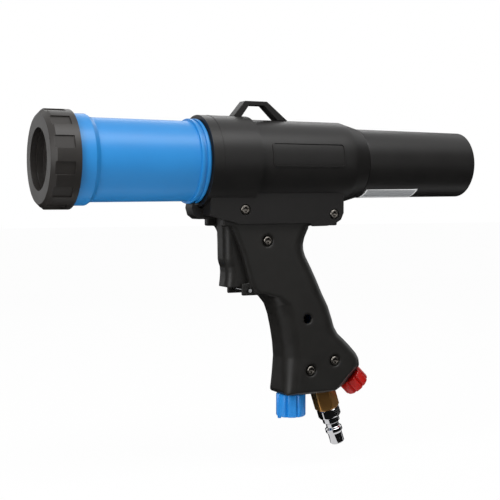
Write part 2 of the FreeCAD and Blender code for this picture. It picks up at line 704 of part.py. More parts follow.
def make_hoses():
    valve_top = size.valve_z + size.valve_radius
    valve_base = size.valve_z - size.valve_radius
    barbs = [make_barb("barb_manifold", size.manifold_port_x, size.manifold_top, True),
             make_barb("barb_supply", size.supply_port_x, valve_base, False),
             make_barb("barb_drive", size.drive_port_x, valve_top, True),
             make_barb("barb_cylinder", size.drive_port_x, size.receiver_roof, False)]
    group = doc.addObject("Part::Compound", "hose_barbs")
    group.Links = barbs
    node(group, "hose_barbs")
    gap = BARB_FLANGE + 0.1
    x = SIZES["drive_port_x"]
    low = SIZES["valve_z"] + SIZES["valve_radius"] + gap
    high = SIZES["receiver_roof"] - gap
    hose_node("drive_hose", [(x, low), (x, high)])
    start = SIZES["manifold_port_x"]
    finish = SIZES["supply_port_x"]
    hose_node("supply_hose", [
        (start, SIZES["manifold_top"] + gap), (start, -109.0), (finish, -87.0),
        (finish, SIZES["valve_z"] - SIZES["valve_radius"] - gap)])


def hose_node(name, route):
    """A hose along straight runs in the XZ plane, joined by tangent arcs."""
    corners = [Vector(x, 0, z) for x, z in route]
    edges = []
    last = corners[0]
    for before, corner, after in zip(corners, corners[1:], corners[2:]):
        back = (before - corner).normalize()
        onward = (after - corner).normalize()
        half_turn = (math.pi - back.getAngle(onward)) / 2
        reach = 0.45 * min((before - corner).Length, (after - corner).Length)
        radius = reach / math.tan(half_turn)
        start = corner + back * reach
        finish = corner + onward * reach
        towards = (back + onward).normalize()
        middle = corner + towards * (radius / math.cos(half_turn) - radius)
        edges += [Part.LineSegment(last, start).toShape(), Part.Arc(start, middle, finish).toShape()]
        last = finish
    edges.append(Part.LineSegment(last, corners[-1]).toShape())
    path = Part.Wire(edges)
    along = corners[1] - corners[0]
    profiles = [Part.Wire(Part.makeCircle(radius, corners[0], along))
                for radius in (SIZES["hose_radius"], SIZES["hose_bore"])]
    outer, inner = [path.makePipeShell([profile], True, True) for profile in profiles]
    hose = outer.cut(inner)
    shape_node(name, hose)


# Regulator, flow valve and air inlet ---------------------------------------------

KNOB_LOBES = 8


def make_regulator():
    spot = {"x": size.regulator_x, "z": size.foot_z, "angle": 90.0}
    inside = size.regulator_radius - size.regulator_wall
    top = -size.regulator_length
    thread = size.regulator_screw + size.running_gap
    node(turned("regulator_body", [
        (top, 0.0), (top + 2.0, 0.0), (top + 2.0, inside), (-3.0, inside), (-3.0, thread),
        (9.0, thread), (9.0, size.regulator_neck), (0.5, size.regulator_neck),
        (0.5, size.regulator_radius), (top, size.regulator_radius)], placed=spot),
        "regulator_body")
    node(turned("regulator_screw", [
        (-9.0, 0.0), (15.0, 0.0), (15.0, size.regulator_screw), (-9.0, size.regulator_screw)],
        placed=spot), "regulator_screw")
    node(turned("regulator_plate", [
        (-11.2, 0.0), (-9.2, 0.0), (-9.2, inside - 0.15), (-11.2, inside - 0.15)],
        placed=spot), "regulator_plate")
    coil("regulator_spring", 3.3, 0.5, size.regulator_length - 2.0 - 11.2 - 1.4, 7.0,
         {"x": size.regulator_x, "z": size.foot_z + 11.2 + 0.7})
    knob_end = size.knob_length + 0.8
    knob = turned("regulator_knob", [
        (0.8, size.regulator_neck + 0.3), (9.6, size.regulator_neck + 0.3),
        (9.6, size.regulator_screw + size.press_gap),
        (15.2, size.regulator_screw + size.press_gap), (15.2, 0.0), (knob_end, 0.0),
        (knob_end, size.knob_radius - 1.2), (knob_end - 1.2, size.knob_radius),
        (0.8, size.knob_radius)], placed=spot)
    notch_round(knob, "regulator_knob", size.knob_radius, size.knob_groove_width,
                size.knob_groove_depth, KNOB_LOBES, size.knob_length - 2.0)
    node(knob, "regulator_knob")


def make_flow_valve():
    spot = {"x": size.flow_x, "z": size.flow_z, "angle": size.flow_tilt}
    bore = size.needle_radius + size.running_gap
    node(turned("flow_valve_body", [
        (-12.0, bore), (-9.0, bore), (-9.0, 3.4), (-2.0, 3.4), (-2.0, bore), (5.0, bore),
        (5.0, 4.2), (0.0, 4.2), (0.0, size.flow_body_radius),
        (-12.0, size.flow_body_radius)], placed=spot), "flow_valve_body")
    node(turned("flow_needle", [
        (-12.5, 0.0), (8.0, 0.0), (8.0, size.needle_radius), (-10.0, size.needle_radius)],
        placed=spot), "flow_needle")
    end = size.flow_knob_length + 0.6
    knob = turned("flow_knob", [
        (0.6, 4.5), (5.4, 4.5), (5.4, bore), (10.4, bore), (10.4, 0.0), (end, 0.0),
        (end, size.flow_knob_radius - 1.0), (end - 1.0, size.flow_knob_radius),
        (0.6, size.flow_knob_radius)], placed=spot)
    notch_round(knob, "flow_knob", size.flow_knob_radius, size.knob_groove_width,
                size.knob_groove_depth, KNOB_LOBES, size.flow_knob_length - 2.0)
    node(knob, "flow_knob")


def hexagon(sketch, across):
    corner = across / math.cos(math.pi / 6)
    outline(sketch, [(corner * math.cos(math.pi / 3 * turn),
                      corner * math.sin(math.pi / 3 * turn)) for turn in range(6)])


def hex_prism(name, across, start, end, spot):
    body = new_body(name)
    sketch = sketch_on(body, "YZ_Plane", name + "_hexagon")
    hexagon(sketch, across)
    pad = body.newObject("PartDesign::Pad", name + "_pad")
    pad.Profile = sketch
    bind(pad, "Length", end)
    place(body, **spot)
    return body


def make_inlet():
    spot = {"x": size.inlet_x, "z": size.inlet_z, "angle": size.inlet_tilt}
    length = size.inlet_length
    thread = size.plug_thread + size.press_gap
    hexagon_part = common("inlet_fitting_hex", hex_prism("inlet_hex", size.inlet_hex, 0.0,
                                                         length, spot),
                          turned("inlet_hex_turned", [
                              (0.3, 0.0), (length, 0.0), (length, size.inlet_hex),
                              (length - 1.0, size.inlet_hex + 0.9),
                              (1.2, size.inlet_hex + 0.9), (0.3, size.inlet_hex)],
                              placed=spot))
    neck = turned("inlet_neck_turned", [
        (-10.0, 0.0), (0.3, 0.0), (0.3, size.inlet_neck), (-10.0, size.inlet_neck)],
        placed=spot)
    bore = turned("inlet_bore", [
        (-11.0, 0.0), (length + 1.0, 0.0), (length + 1.0, thread),
        (length - size.plug_thread_length - 0.5, thread),
        (length - size.plug_thread_length - 0.5, size.plug_bore), (-11.0, size.plug_bore)],
        placed=spot)
    node(cut("inlet_fitting", join("inlet_fitting_solid", hexagon_part, neck), bore),
         "inlet_fitting")
    start = length + 0.1
    nut_end = start + 7.0
    end = length + size.plug_length
    collar = common("plug_nut", hex_prism("plug_hexagon", size.plug_hex, 0.0, nut_end, spot),
                    turned("plug_nut_turned", [
                        (start, 0.0), (nut_end, 0.0), (nut_end, size.plug_hex),
                        (nut_end - 1.0, size.plug_hex + 0.8), (start + 1.0, size.plug_hex + 0.8),
                        (start, size.plug_hex)], placed=spot))
    stem = turned("plug_stem", [
        (length - size.plug_thread_length, 0.0), (end, 0.0), (end, size.plug_nose - 0.6),
        (end - 0.8, size.plug_nose), (end - 8.0, size.plug_nose), (end - 9.6, size.plug_radius),
        (end - 12.0, size.plug_radius), (end - 13.2, size.plug_nose - 0.4),
        (end - 16.0, size.plug_nose - 0.4), (end - 17.2, size.plug_radius),
        (nut_end - 0.5, size.plug_radius), (start + 0.5, size.plug_radius),
        (start + 0.5, size.plug_thread), (length - size.plug_thread_length, size.plug_thread)],
        placed=spot)
    hollow = turned("plug_hollow", [
        (0.0, 0.0), (end + 1.0, 0.0), (end + 1.0, size.plug_bore), (0.0, size.plug_bore)],
        placed=spot)
    node(cut("inlet_plug", join("inlet_plug_solid", collar, stem), hollow), "inlet_plug")


def make_manifold():
    block_part = plate("manifold_block", [
        (197.6, -162.2), (197.6, size.manifold_top), (219.4, size.manifold_top),
        (219.4, -157.0), (203.0, -161.7)], 9.0)
    bore = turned("manifold_bore", [
        (-10.4, 0.0), (4.0, 0.0), (4.0, size.inlet_neck + size.press_gap),
        (-10.4, size.inlet_neck + size.press_gap)],
        placed={"x": size.inlet_x, "z": size.inlet_z, "angle": size.inlet_tilt})
    port = rod("manifold_port", 0.0, 6.0, size.barb_thread + size.press_gap)
    place(port, size.manifold_port_x, 0.0, size.manifold_top - PORT_DEPTH)
    flow = turned("manifold_flow_seat", [
        (-12.2, 0.0), (4.0, 0.0), (4.0, size.flow_body_radius + 0.1),
        (-12.2, size.flow_body_radius + 0.1)],
        placed={"x": size.flow_x, "z": size.flow_z, "angle": size.flow_tilt})
    node(cut("air_manifold", block_part, bore, port, flow), "air_manifold")


# Fasteners, latch and label ------------------------------------------------------

def make_screw(name, x, z, face, side, reach):
    """A pan-head screw along Y: its head stands on a face at the given side."""
    head = cross_rod(name + "_head", x, z, 0.0, 2.0, size.screw_head)
    shank = cross_rod(name + "_shank", x, z, 0.0, reach, size.screw_shank)
    if side < 0:
        place(head, x, face - 2.0, z, (1, 0, 0), -90.0)
        place(shank, x, face, z, (1, 0, 0), -90.0)
    else:
        place(head, x, face, z, (1, 0, 0), -90.0)
        place(shank, x, face - reach, z, (1, 0, 0), -90.0)
    return join(name, head, shank)


def make_screws():
    seat = size.receiver_half - HEAD_SINK
    screws = [make_screw(f"housing_screw_{index}_{side}", x, z, seat * side, side, 7.0)
              for index, (x, z) in enumerate(SCREW_SPOTS) for side in (-1, 1)]
    group = doc.addObject("Part::Compound", "housing_screws")
    group.Links = screws
    node(group, "housing_screws")
    seat = 1.6 - size.grip_half
    group = doc.addObject("Part::Compound", "grip_screws")
    group.Links = [make_screw(f"grip_screw_{index}", x, z, seat, -1, size.grip_half * 2 - 5.0)
                   for index, (x, z) in enumerate(GRIP_SCREW_SPOTS)]
    node(group, "grip_screws")


def make_latch():
    x = size.latch_x
    z = size.latch_z
    tooth = size.bead_start + size.bead_width
    node(plate("barrel_latch", [
        (tooth + 0.3, z + 7.1), (tooth + 1.8, z + 7.1), (tooth + 1.8, z + 5.6),
        (x - 8.0, z + 5.4), (x - 7.6, z + 3.2), (x + 1.6, z + 3.2), (x + 2.4, z + 0.7),
        (x + 6.2, z + 0.7), (x + 6.4, z - 1.0), (x + 4.8, z - 4.0), (x - 7.8, z - 4.2),
        (x - 11.6, z - 1.4), (x - 13.0, z + 3.6)], size.latch_half,
        [(x, z, size.latch_pin + size.running_gap)]), "barrel_latch")
    node(cross_rod("latch_pin_rod", x, z, -9.2, 9.2, size.latch_pin), "latch_pin")
    coil("latch_spring", 1.5, 0.25, 2.3, 3.0, {"x": x + 4.4, "z": z + 1.05})


def make_label():
    start = size.label_start
    end = start + size.label_length
    slope = (size.tube_radius - size.tube_rear_radius) / (size.tube_end - tube_shoulder)
    near = size.tube_radius - (start - tube_shoulder) * slope + 0.02
    far = size.tube_radius - (end - tube_shoulder) * slope + 0.02
    sleeve = turned("label_sleeve", [(start, near), (end, far), (end, far + size.label_thickness),
                                     (start, near + size.label_thickness)])
    window = block("label_window", (start - 1.0, end + 1.0), (-16.4, -2.4), (-30.0, -10.0))
    node(common("rating_label", sleeve, window), "rating_label")


def main():
    make_ring_nut()
    make_nozzle_ring()
    make_barrel()
    make_housing()
    make_hanger_loop()
    make_rear_cylinder()
    make_piston()
    make_handle()
    make_trigger()
    make_valve()
    make_hoses()
    make_regulator()
    make_flow_valve()
    make_inlet()
    make_manifold()
    make_screws()
    make_latch()
    make_label()


main()
doc.recompute()
for item in doc.Objects:
    if "Invalid" in item.State or "Error" in item.State:
        raise RuntimeError(item.Label + " did not compute")
for item in nodes:
    if item.Shape.isNull() or not item.Shape.isValid():
        raise RuntimeError(item.Label + " has no sound shape")
os.makedirs("parts", exist_ok=True)
for item in nodes:
    item.Shape.exportStep("parts/" + item.Label + ".step")
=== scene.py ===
import json
import math
import bpy
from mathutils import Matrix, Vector

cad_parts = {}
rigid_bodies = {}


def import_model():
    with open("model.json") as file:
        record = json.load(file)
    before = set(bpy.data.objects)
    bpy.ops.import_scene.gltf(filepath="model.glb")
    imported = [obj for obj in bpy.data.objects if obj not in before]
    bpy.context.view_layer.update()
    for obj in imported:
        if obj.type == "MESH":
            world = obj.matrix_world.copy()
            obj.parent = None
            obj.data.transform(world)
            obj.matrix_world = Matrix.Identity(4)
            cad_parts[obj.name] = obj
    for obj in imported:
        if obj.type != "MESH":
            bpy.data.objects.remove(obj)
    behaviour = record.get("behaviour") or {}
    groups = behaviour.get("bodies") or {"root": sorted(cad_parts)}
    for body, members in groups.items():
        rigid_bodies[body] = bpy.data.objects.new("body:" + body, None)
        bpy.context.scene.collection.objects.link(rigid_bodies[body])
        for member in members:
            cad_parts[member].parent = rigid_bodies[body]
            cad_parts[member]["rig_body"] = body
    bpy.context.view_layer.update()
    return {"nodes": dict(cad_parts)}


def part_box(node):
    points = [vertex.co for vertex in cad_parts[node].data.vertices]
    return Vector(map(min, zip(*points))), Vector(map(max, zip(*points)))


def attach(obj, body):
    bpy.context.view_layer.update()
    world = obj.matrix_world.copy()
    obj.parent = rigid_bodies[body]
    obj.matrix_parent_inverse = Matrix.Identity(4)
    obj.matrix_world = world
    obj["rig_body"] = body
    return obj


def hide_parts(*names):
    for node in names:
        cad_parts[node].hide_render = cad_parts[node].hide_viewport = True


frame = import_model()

NODES = frame["nodes"]
BODY_OF = {name: node["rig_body"] for name, node in NODES.items()}
SLOT_OF = {name: node.material_slots[0].material.name.split(".")[0]
           for name, node in NODES.items()}


def mm(*lengths):
    """Millimetres as the scene's metres."""
    found = tuple(0.001 * length for length in lengths)
    return found[0] if len(found) == 1 else Vector(found)


# Finishes ------------------------------------------------------------------------

class Value:
    """A number on a shader socket, written in sums like any other number."""

    def __init__(self, finish, socket):
        self.finish = finish
        self.socket = socket

    def sum_with(self, operation, first, second):
        node = self.finish.node("Math", {"operation": operation}, {0: first, 1: second})
        return Value(self.finish, node.outputs[0])

    def __add__(self, other):
        return self.sum_with("ADD", self, other)

    def __radd__(self, other):
        return self.sum_with("ADD", other, self)

    def __sub__(self, other):
        return self.sum_with("SUBTRACT", self, other)

    def __rsub__(self, other):
        return self.sum_with("SUBTRACT", other, self)

    def __mul__(self, other):
        return self.sum_with("MULTIPLY", self, other)

    def __rmul__(self, other):
        return self.sum_with("MULTIPLY", other, self)

    def most(self, other):
        return self.sum_with("MAXIMUM", self, other)


class Finish:
    """One material: its nodes, and the coordinates of the piece that wears it."""

    def __init__(self, name):
        self.material = bpy.data.materials.new(name)
        self.material.use_nodes = True
        self.tree = self.material.node_tree
        self.skin = self.tree.nodes["Principled BSDF"]
        self.place = self.node("TexCoord").outputs["Object"]

    def node(self, kind, settings=None, inputs=None):
        made = self.tree.nodes.new("ShaderNode" + kind)
        for key, value in (settings or {}).items():
            setattr(made, key, value)
        for key, value in (inputs or {}).items():
            self.put(made.inputs[key], value)
        return made

    def put(self, socket, value):
        if isinstance(value, Value):
            value = value.socket
        if isinstance(value, bpy.types.NodeSocket):
            self.tree.links.new(value, socket)
        else:
            socket.default_value = value

    def noise(self, scale, detail, rough=0.5, stretch=(1, 1, 1)):
        where = self.node("Mapping", {}, {"Vector": self.place, "Scale": stretch})
        found = self.node("TexNoise", {}, {
            "Vector": where.outputs[0], "Scale": scale, "Detail": detail, "Roughness": rough})
        return Value(self, found.outputs[0])

    def axis(self, letter):
        split = self.node("SeparateXYZ", {}, {0: self.place})
        return Value(self, split.outputs[letter])

    def band(self, value, low, high):
        """0 below low, 1 above high, and an even slope between them."""
        found = self.node("MapRange", {"clamp": True}, {
            "Value": value, "From Min": low, "From Max": high})
        return Value(self, found.outputs[0])

    def blend(self, share, first, second):
        mixed = self.node("Mix", {"data_type": "RGBA"}, {
            "Factor": share, 6: first, 7: second})
        return mixed.outputs[2]

    def relief(self, height, strength, distance):
        made = self.node("Bump", {}, {
            "Height": height, "Strength": strength, "Distance": distance})
        self.put(self.skin.inputs["Normal"], made.outputs[0])

    def wear(self, **values):
        """Sets the skin's sockets by name, with underscores for the spaces."""
        for key, value in values.items():
            self.put(self.skin.inputs[key.replace("_", " ")], value)


def colour(red, green, blue):
    """A colour as it looks on screen, 0 to 255, turned to linear light."""
    def linear(level):
        level = level / 255
        return level / 12.92 if level <= 0.04045 else ((level + 0.055) / 1.055) ** 2.4
    return (linear(red), linear(green), linear(blue), 1.0)


def moulded_plastic(name, deep, pale, rough, grain, shine):
    """Satin moulded plastic with a fine spark-eroded grain."""
    finish = Finish(name)
    cloud = finish.noise(60, 3)
    fine = finish.noise(grain, 2, 0.6)
    finish.wear(Base_Color=finish.blend(cloud, deep, pale),
                Roughness=rough + 0.10 * (cloud - 0.5) + 0.06 * (fine - 0.5),
                Specular_IOR_Level=shine)
    finish.relief(fine, 0.16, 0.00006)
    return finish.material


def painted_blue():
    """Semi-gloss blue enamel over an aluminium tube."""
    finish = Finish("blue enamel")
    cloud = finish.noise(35, 3)
    peel = finish.noise(900, 2)
    finish.wear(Base_Color=finish.blend(cloud, colour(22, 118, 184), colour(30, 128, 196)),
                Roughness=0.42 + 0.06 * (cloud - 0.5),
                Specular_IOR_Level=0.45, Coat_Weight=0.08, Coat_Roughness=0.25)
    finish.relief(peel, 0.08, 0.00005)
    return finish.material


def glossy_knob(name, deep, pale):
    """Bright moulded knob plastic with a slightly uneven gloss."""
    finish = Finish(name)
    cloud = finish.noise(90, 3)
    finish.wear(Base_Color=finish.blend(cloud, deep, pale),
                Roughness=0.30 + 0.10 * cloud, Specular_IOR_Level=0.5)
    finish.relief(finish.noise(1400, 2), 0.08, 0.00004)
    return finish.material


def metal(name, deep, pale, rough, lines, stretch):
    """Machined or plated metal with its tool marks."""
    finish = Finish(name)
    cloud = finish.noise(120, 4)
    marks = finish.noise(lines, 3, 0.6, stretch)
    finish.wear(Base_Color=finish.blend(cloud, deep, pale), Metallic=1.0,
                Roughness=rough + 0.12 * (cloud - 0.5) + 0.05 * (marks - 0.5))
    finish.relief(marks, 0.12, 0.00003)
    return finish.material


def rubber(name, deep, pale):
    """Matt rubber with a soft mottle."""
    finish = Finish(name)
    cloud = finish.noise(200, 4)
    finish.wear(Base_Color=finish.blend(cloud, deep, pale), Roughness=0.6 + 0.15 * cloud,
                Specular_IOR_Level=0.3)
    finish.relief(cloud, 0.2, 0.0001)
    return finish.material


def plate_label():
    """A satin strip with a grey field inside a white border, and nothing printed on it."""
    finish = Finish("plain rating plate")
    low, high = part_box("rating_label")
    along = finish.axis("X")
    up = finish.axis("Z")
    margin = mm(1.1)
    inside = (finish.band(along, low.x + margin, low.x + 1.2 * margin)
              * (1 - finish.band(along, high.x - 1.2 * margin, high.x - margin))
              * finish.band(up, low.z + margin * 0.8, low.z + margin)
              * (1 - finish.band(up, high.z - margin, high.z - margin * 0.8)))
    finish.wear(Base_Color=finish.blend(inside, colour(225, 226, 226), colour(150, 152, 154)),
                Roughness=0.42 + 0.08 * (finish.noise(300, 2) - 0.5))
    return finish.material


FINISHES = {
    "black_nylon": moulded_plastic(
        "nylon, black", colour(33, 31, 29), colour(44, 41, 39), 0.42, 2600, 0.34),
    "blue_paint": painted_blue(),
    "black_plastic": moulded_plastic(
        "housing plastic, black", colour(21, 20, 20), colour(29, 28, 27), 0.40, 3000, 0.28),
    "grip_plastic": moulded_plastic(
        "grip plastic, black", colour(24, 23, 22), colour(33, 32, 30), 0.42, 2400, 0.30),
    "bush_plastic": moulded_plastic(
        "bush plastic, ivory", colour(196, 190, 176), colour(212, 206, 194), 0.45, 2000, 0.35),
    "aluminium": metal(
        "turned aluminium", colour(190, 192, 194), colour(214, 215, 217), 0.32, 900, (8, 1, 1)),
    "seal_rubber": rubber("seal rubber", colour(16, 16, 17), colour(27, 27, 28)),
    "steel": metal(
        "bright steel", colour(176, 177, 178), colour(206, 207, 208), 0.26, 700, (1, 1, 6)),
    "screw_steel": metal(
        "plated screw steel", colour(104, 100, 95), colour(146, 141, 134), 0.30, 900, (1, 6, 1)),
    "brass": metal(
        "turned brass", colour(176, 124, 66), colour(208, 160, 96), 0.42, 900, (3, 3, 1)),
    "hose": rubber("blue air hose", colour(28, 70, 120), colour(38, 88, 140)),
    "blue_knob": glossy_knob("blue knob plastic", colour(18, 120, 200), colour(34, 140, 218)),
    "red_knob": glossy_knob("red knob plastic", colour(166, 10, 5), colour(186, 18, 8)),
    "chrome": metal(
        "chrome plate", colour(186, 186, 188), colour(210, 210, 212), 0.10, 500, (1, 1, 2)),
    "label": plate_label(),
}


def dress(piece, slot):
    piece.data.materials.clear()
    piece.data.materials.append(FINISHES[slot])


# Modelling helpers ---------------------------------------------------------------

def only(piece):
    """Leaves one piece selected and active."""
    if bpy.context.mode != "OBJECT":
        bpy.ops.object.mode_set(mode="OBJECT")
    bpy.ops.object.select_all(action="DESELECT")
    piece.hide_viewport = False
    piece.select_set(True)
    bpy.context.view_layer.objects.active = piece
    return piece


def settle(piece):
    """Puts the piece's place in its mesh, with its object at the origin."""
    only(piece)
    bpy.ops.object.transform_apply(location=True, rotation=True, scale=True)
    return piece


def named(piece, name):
    """Gives the object and its mesh one name."""
    piece.name = name
    piece.data.name = name
    return piece


WELD_DISTANCE = 0.000002
FLAT_ANGLE = math.radians(0.05)


def shape_of(node, name):
    """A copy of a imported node's mesh, with its loose triangles merged into faces."""
    source = NODES[node]
    piece = bpy.data.objects.new(name, source.data.copy())
    bpy.context.scene.collection.objects.link(piece)
    only(piece)
    bpy.ops.object.mode_set(mode="EDIT")
    bpy.ops.mesh.select_all(action="SELECT")
    bpy.ops.mesh.remove_doubles(threshold=WELD_DISTANCE)
    bpy.ops.mesh.dissolve_limited(angle_limit=FLAT_ANGLE)
    bpy.ops.object.mode_set(mode="OBJECT")
    return piece


def apply_modifier(piece, kind, **settings):
    """Adds a modifier with its settings and applies it at once."""
    only(piece)
    modifier = piece.modifiers.new(kind.lower(), kind)
    for key, value in settings.items():
        setattr(modifier, key, value)
    bpy.ops.object.modifier_apply(modifier=modifier.name)
    return piece


def soften(piece, width, segments, angle):
    """Rounds the edges sharper than the angle."""
    return apply_modifier(piece, "BEVEL", width=width, segments=segments, limit_method="ANGLE",
                          angle_limit=math.radians(angle), miter_outer="MITER_ARC",
                          use_clamp_overlap=True)


def smooth(piece, angle=32):
    """Shades smooth across the edges flatter than the angle."""
    only(piece)
    bpy.ops.object.shade_smooth_by_angle(angle=math.radians(angle))
    return piece


def combine(piece, tools, operation):
    """Adds the tools' shapes to the piece or takes them out, and removes the tools."""
    for tool in tools:
        apply_modifier(piece, "BOOLEAN", object=tool, operation=operation, solver="EXACT")
        bpy.data.objects.remove(tool)
    return piece


def carve(piece, *tools):
    return combine(piece, tools, "DIFFERENCE")


def join_on(piece, *tools):
    return combine(piece, tools, "UNION")


def relax(piece, voxel, passes):
    """Melts the piece's lofts and blocks into one even skin with soft edges."""
    apply_modifier(piece, "REMESH", mode="VOXEL", voxel_size=voxel)
    apply_modifier(piece, "SMOOTH", factor=0.5, iterations=passes)
    return piece


def drum(name, centre, radius, length, axis="X", sides=64, tilt=0.0):
    """A cylinder primitive lying along an axis, turned about Y by tilt."""
    turn = {"X": (0, math.pi / 2, 0), "Y": (math.pi / 2, 0, 0), "Z": (0, 0, 0)}[axis]
    turn = (turn[0], turn[1] + tilt, turn[2])
    bpy.ops.object.select_all(action="DESELECT")
    bpy.ops.mesh.primitive_cylinder_add(vertices=sides, radius=radius, depth=length,
                                        location=centre, rotation=turn)
    return settle(named(bpy.context.active_object, name))


def box_of(name, x, y, z):
    """A block between two limits along each axis, in millimetres."""
    bpy.ops.object.select_all(action="DESELECT")
    bpy.ops.mesh.primitive_cube_add(
        size=1, location=mm(sum(x) / 2, sum(y) / 2, sum(z) / 2),
        scale=mm(x[1] - x[0], y[1] - y[0], z[1] - z[0]))
    return settle(named(bpy.context.active_object, name))


def finish_piece(piece, node, replace=True):
    """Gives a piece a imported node's finish and body, and its place if it replaces it."""
    dress(piece, SLOT_OF[node])
    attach(piece, BODY_OF[node])
    if replace:
        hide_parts(node)
    return piece


def softened_node(node, width, segments, angle=30):
    """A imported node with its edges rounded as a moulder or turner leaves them."""
    piece = shape_of(node, node + "_finished")
    soften(piece, width, segments, angle)
    smooth(piece)
    apply_modifier(piece, "WEIGHTED_NORMAL", keep_sharp=True)
    return finish_piece(piece, node)


# Pieces --------------------------------------------------------------------------

CORNER_STEPS = 8


def quarter(start):
    """The turns along a quarter circle that starts at an angle in degrees."""
    return [math.radians(start + 90 * step / CORNER_STEPS) for step in range(CORNER_STEPS + 1)]


def station(front, rear, half, front_round, rear_round, height):
    """One level of a loft: an oblong with rounded corners, all in millimetres."""
    points = []
    corners = [(front + front_round, half - front_round, front_round, 90),
               (front + front_round, -(half - front_round), front_round, 180),
               (rear - rear_round, -(half - rear_round), rear_round, 270),
               (rear - rear_round, half - rear_round, rear_round, 0)]
    for x, y, radius, start in corners:
        points += [mm(x + radius * math.cos(turn), y + radius * math.sin(turn), height)
                   for turn in quarter(start)]
    return points


def between(table, at):
    """The value of a table of (place, value) at a place, on straight lines."""
    rows = sorted(table)
    if at <= rows[0][0]:
        return rows[0][1]
    for (low, a), (high, b) in zip(rows, rows[1:]):
        if at <= high:
            return a + (b - a) * (at - low) / (high - low)
    return rows[-1][1]


def skin_of(name, points, faces):
    """A new piece over the points, with its faces turned outward."""
    mesh = bpy.data.meshes.new(name)
    mesh.from_pydata(points, [], faces)
    mesh.validate()
    piece = bpy.data.objects.new(name, mesh)
    bpy.context.scene.collection.objects.link(piece)
    only(piece)
    bpy.ops.object.mode_set(mode="EDIT")
    bpy.ops.mesh.select_all(action="SELECT")
    bpy.ops.mesh.normals_make_consistent(inside=False)
    bpy.ops.object.mode_set(mode="OBJECT")
    return piece


def lofted(name, rings):
    """A closed skin over rings of equal count, first and last capped."""
    count = len(rings[0])
    faces = [tuple(range(count))[::-1],
             tuple((len(rings) - 1) * count + k for k in range(count))]
    for level in range(len(rings) - 1):
        for k in range(count):
            a = level * count + k
            b = level * count + (k + 1) % count
            faces.append((a, b, b + count, a + count))
    return skin_of(name, [point for ring in rings for point in ring], faces)


def slice_off(piece, point, normal):
    """Cuts away what lies on the normal's side of a plane, and closes the cut."""
    only(piece)
    bpy.ops.object.mode_set(mode="EDIT")
    bpy.ops.mesh.select_all(action="SELECT")
    bpy.ops.mesh.bisect(plane_co=point, plane_no=normal, use_fill=True, clear_outer=True)
    bpy.ops.object.mode_set(mode="OBJECT")
    return piece


def slice_by(piece, planes):
    """Cuts the piece by planes, each a point in millimetres and a direction."""
    for point, normal in planes:
        slice_off(piece, mm(*point), Vector(normal).normalized())


# The handle's outline in millimetres: each row is a height and the edge's place along X.
FRONT = [(-43.2, 129.6), (-48, 132.4), (-53.3, 134.6), (-58.3, 136.7), (-62.3, 138.4),
         (-66.5, 139.8), (-74.8, 142.1), (-81.8, 144.1), (-88, 146.6), (-91.6, 149.5),
         (-92.8, 156.5), (-95.5, 163.5), (-101.1, 166.6), (-108.7, 169.4),
         (-118.8, 171.6), (-128.9, 173.3), (-139, 174.1), (-151, 173.8), (-163, 173.2),
         (-168, 173.0)]
BACK = [(-43.2, 196), (-48, 193.5), (-53.3, 191.3), (-58.3, 190.4), (-62.3, 190.9),
        (-66.5, 192.3), (-74.8, 196.9), (-84.1, 201.7), (-94.3, 206.5), (-103.4, 211.4),
        (-113.7, 215.2), (-119, 217), (-124.3, 220.4), (-128.8, 225.6), (-133.9, 230.9),
        (-139.5, 236.1), (-143.4, 238.4), (-149.5, 239.3), (-168, 239.3)]
# The radius of the handle's front and back corners at each height.
FRONT_ROUND = [(-43, 3.0), (-92, 3.0), (-95.5, 7.0), (-101, 12.0), (-140, 12.5),
               (-158, 10), (-168, 8.0)]
BACK_ROUND = [(-43, 10.0), (-62, 12.5), (-110, 13.5), (-130, 15.0), (-168, 15.5)]
# Levels added where the outline's own rows are far apart.
EXTRA_LEVELS = {-70.0, -78.0, -98.0, -105.0, -134.0, -145.0, -157.0}

GRIP_HALF = 17.0
WALL = 2.9
CORNER_WALL = 1.5
LEAST_CORNER = 2
HOLLOW_FRONT = 157.9
HOLLOW_TOP, HOLLOW_LOW, HOLLOW_FOOT = -44, -162, -163.0
FOOT_TILT = math.radians(18.2)
FLOW_TILT = math.radians(45)

# Where the grip's screws sit, along X and Z. One sits deeper, in a narrower hole.
GRIP_SCREWS = [(157.9, -55.1), (192.7, -148.4), (212.2, -142.5)]
DEEP_SCREW = (189.9, -111.4)

# The flats at the handle's foot: the sole, its slight rise towards the rear, the rear
# flat for the flow knob and its two sides, the front corner, and the sole's two sides.
FOOT_FLATS = [((200, 0, -166.1), (0, 0, -1)), ((226.5, 0, -162.3), (0.17, 0, -1)),
              ((226.5, 0, -162.3), (1, 0, -1)),
              ((232.6, -6, -156.2), (0.5635, -0.604, -0.5635)),
              ((232.6, 6, -156.2), (0.5635, 0.604, -0.5635)),
              ((173.9, 0, -164.2), (-0.8, 0, -0.6)),
              ((190, -13, -166.1), (0, -0.447, -0.894)),
              ((190, 13, -166.1), (0, 0.447, -0.894))]
# The rear flats inside, 3 to 4 mm in from those outside.
HOLLOW_FLATS = [((226.5, 0, -158.7), (0.17, 0, -1)), ((226.5, 0, -158.0), (1, 0, -1)),
                ((229.4, -5, -153.0), (0.5635, -0.604, -0.5635)),
                ((229.4, 5, -153.0), (0.5635, 0.604, -0.5635))]


def handle_levels():
    return sorted({z for z, _ in FRONT} | {z for z, _ in BACK} | EXTRA_LEVELS, reverse=True)


def handle_outside():
    """The handle's solid form, with the tongue above it and the two lugs before it."""
    grip = lofted("grip", [
        station(between(FRONT, z), between(BACK, z), GRIP_HALF, between(FRONT_ROUND, z),
                between(BACK_ROUND, z), z)
        for z in handle_levels()])
    slice_by(grip, FOOT_FLATS)
    return join_on(grip, box_of("tongue", (124, 213.6), (-16.8, 16.8), (-45, -32.2)),
                   *[box_of("lug", (139.8, 153), (low, low + 2.6), (-93.2, -84.5))
                     for low in (-13.2, 10.6)])


